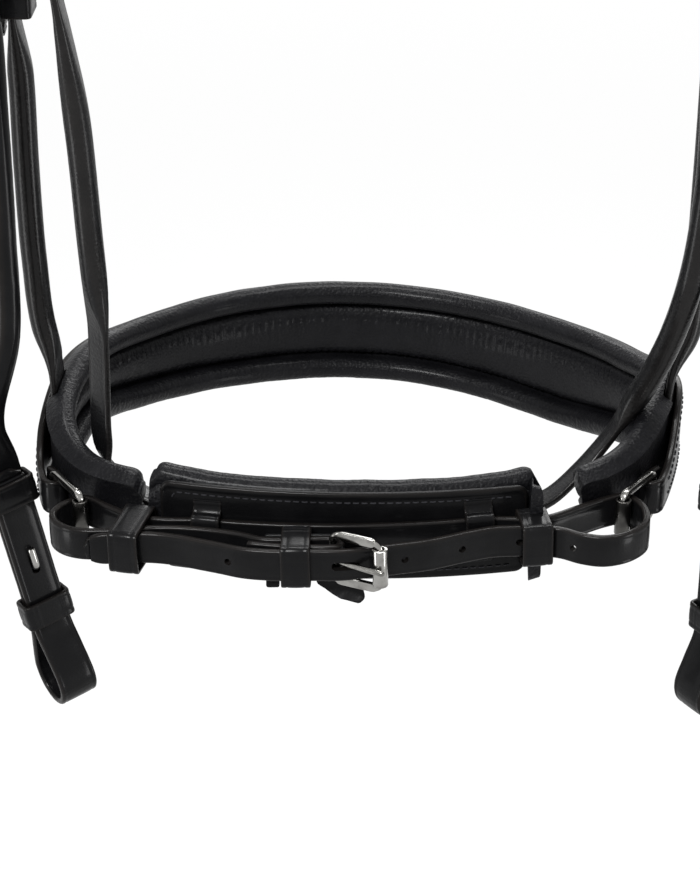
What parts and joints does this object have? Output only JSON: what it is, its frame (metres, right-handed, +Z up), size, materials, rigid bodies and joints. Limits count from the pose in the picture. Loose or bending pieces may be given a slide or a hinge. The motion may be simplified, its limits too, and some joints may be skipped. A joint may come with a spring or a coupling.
{
  "type": "dressage bridle with a padded crank noseband",
  "caption": "Bridle hanging as worn: padded crank noseband closed behind the jaw, rolled cheekpieces with looped bit ends, headpiece, browband and throatlash.",
  "frame": {"origin": "middle of the poll pad's underside, where a bridle bracket carries the bridle", "axes": "+Z up; +Y towards the front of the horse's face, so the chin and the crank buckle are at -Y; +X to the right seen from behind, the side of the picture's right"},
  "size_m": [0.306, 0.2244, 0.5129],
  "materials": {
    "bridle_leather": "black bridle leather, waxed",
    "lining_leather": "soft black grained leather over padding",
    "steel": "polished stainless steel"
  },
  "bodies": {
    "bridle": {"headpiece": "bridle_leather", "browband": "bridle_leather", "noseband_band": "bridle_leather", "crank_strap": "bridle_leather", "crank_buckle_keeper": "bridle_leather", "crank_buckle_guard": "bridle_leather", "noseband_cheek_strap": "bridle_leather", "noseband_headstrap": "bridle_leather", "noseband_fixed_keeper": "bridle_leather", "left_cheekpiece": "bridle_leather", "right_cheekpiece": "bridle_leather", "left_bit_upper_keeper": "bridle_leather", "left_bit_lower_keeper": "bridle_leather", "right_bit_upper_keeper": "bridle_leather", "right_bit_lower_keeper": "bridle_leather", "left_cheek_fixed_keeper": "bridle_leather", "right_cheek_fixed_keeper": "bridle_leather", "throatlash": "bridle_leather", "left_throat_fixed_keeper": "bridle_leather", "right_throat_fixed_keeper": "bridle_leather", "poll_pad": "lining_leather", "browband_pad": "lining_leather", "noseband_lining": "lining_leather", "crank_buckle_frame": "steel", "noseband_buckle_frame": "steel", "left_hook_stud": "steel", "right_hook_stud": "steel", "left_cheek_buckle_frame": "steel", "right_cheek_buckle_frame": "steel", "left_throat_buckle_frame": "steel", "right_throat_buckle_frame": "steel"},
    "crank_tongue": {"crank_buckle_tongue": "steel"},
    "crank_roller": {"crank_buckle_roller": "steel"},
    "left_ring": {"left_square_ring": "steel"},
    "left_ring_sleeve_body": {"left_ring_sleeve": "steel"},
    "right_ring": {"right_square_ring": "steel"},
    "right_ring_sleeve_body": {"right_ring_sleeve": "steel"},
    "left_cheek_tongue": {"left_cheek_buckle_tongue": "steel"},
    "left_cheek_keeper": {"left_cheek_sliding_keeper": "bridle_leather"},
    "right_cheek_tongue": {"right_cheek_buckle_tongue": "steel"},
    "right_cheek_keeper": {"right_cheek_sliding_keeper": "bridle_leather"},
    "noseband_tongue": {"noseband_buckle_tongue": "steel"},
    "noseband_keeper": {"noseband_sliding_keeper": "bridle_leather"},
    "left_throat_tongue": {"left_throat_buckle_tongue": "steel"},
    "left_throat_keeper": {"left_throat_sliding_keeper": "bridle_leather"},
    "right_throat_tongue": {"right_throat_buckle_tongue": "steel"},
    "right_throat_keeper": {"right_throat_sliding_keeper": "bridle_leather"},
    "crank_left_keeper_loop": {"crank_left_keeper": "bridle_leather"},
    "crank_right_keeper_loop": {"crank_right_keeper": "bridle_leather"},
    "chin_pad": {"chin_pad_cushion": "lining_leather", "chin_pad_facing": "bridle_leather"}
  },
  "joints": [
    {"name": "crank_tongue_hinge", "type": "hinge", "parent": "bridle", "child": "crank_tongue", "pos_m": [-0.0095, -0.06935, -0.39841], "axis": [0.022, 0, -0.9998], "range_deg": [0, 6]},
    {"name": "crank_roller_spin", "type": "hinge", "parent": "bridle", "child": "crank_roller", "pos_m": [0.0083, -0.07735, -0.39802], "axis": [-0.022, 0, 0.9998], "continuous": true},
    {"name": "left_ring_hinge", "type": "hinge", "parent": "bridle", "child": "left_ring", "pos_m": [-0.11984, -0.022, -0.4], "axis": [0, 0, -1], "range_deg": [-1, 5]},
    {"name": "left_ring_sleeve_spin", "type": "hinge", "parent": "left_ring", "child": "left_ring_sleeve_body", "pos_m": [-0.10722, -0.04002, -0.4], "axis": [0, 0, 1], "continuous": true},
    {"name": "right_ring_hinge", "type": "hinge", "parent": "bridle", "child": "right_ring", "pos_m": [0.11222, -0.02234, -0.396], "axis": [0, 0, 1], "range_deg": [-1, 2]},
    {"name": "right_ring_sleeve_spin", "type": "hinge", "parent": "right_ring", "child": "right_ring_sleeve_body", "pos_m": [0.0998, -0.0405, -0.396], "axis": [0, 0, 1], "continuous": true},
    {"name": "left_cheek_tongue_hinge", "type": "hinge", "parent": "bridle", "child": "left_cheek_tongue", "pos_m": [-0.1365, 0, -0.16], "axis": [0, -1, 0], "range_deg": [0, 6]},
    {"name": "left_cheek_keeper_slide", "type": "slide", "parent": "bridle", "child": "left_cheek_keeper", "axis": [0, 0, 1], "range_m": [-0.003, 0.005]},
    {"name": "right_cheek_tongue_hinge", "type": "hinge", "parent": "bridle", "child": "right_cheek_tongue", "pos_m": [0.1365, 0, -0.16], "axis": [0, 1, 0], "range_deg": [0, 6]},
    {"name": "right_cheek_keeper_slide", "type": "slide", "parent": "bridle", "child": "right_cheek_keeper", "axis": [0, 0, 1], "range_m": [-0.003, 0.005]},
    {"name": "noseband_tongue_hinge", "type": "hinge", "parent": "bridle", "child": "noseband_tongue", "pos_m": [-0.129, 0.023, -0.185], "axis": [0, -1, 0], "range_deg": [0, 6]},
    {"name": "noseband_keeper_slide", "type": "slide", "parent": "bridle", "child": "noseband_keeper", "axis": [0, 0, 1], "range_m": [-0.003, 0.005]},
    {"name": "left_throat_tongue_hinge", "type": "hinge", "parent": "bridle", "child": "left_throat_tongue", "pos_m": [-0.107, -0.024, -0.15], "axis": [0, -1, 0], "range_deg": [0, 6]},
    {"name": "left_throat_keeper_slide", "type": "slide", "parent": "bridle", "child": "left_throat_keeper", "axis": [0, 0, 1], "range_m": [-0.003, 0.005]},
    {"name": "right_throat_tongue_hinge", "type": "hinge", "parent": "bridle", "child": "right_throat_tongue", "pos_m": [0.124, -0.024, -0.15], "axis": [0, 1, 0], "range_deg": [0, 6]},
    {"name": "right_throat_keeper_slide", "type": "slide", "parent": "bridle", "child": "right_throat_keeper", "axis": [0, 0, 1], "range_m": [-0.003, 0.005]},
    {"name": "crank_left_keeper_slide", "type": "slide", "parent": "bridle", "child": "crank_left_keeper_loop", "axis": [0.9764, -0.2148, 0.0215], "range_m": [-0.001, 0.001]},
    {"name": "crank_right_keeper_slide", "type": "slide", "parent": "bridle", "child": "crank_right_keeper_loop", "axis": [0.9872, 0.158, 0.0217], "range_m": [-0.002, 0.0015]},
    {"name": "chin_pad_slide", "type": "slide", "parent": "bridle", "child": "chin_pad", "axis": [1, 0, 0], "range_m": [-0.001, 0.001]}
  ]
}
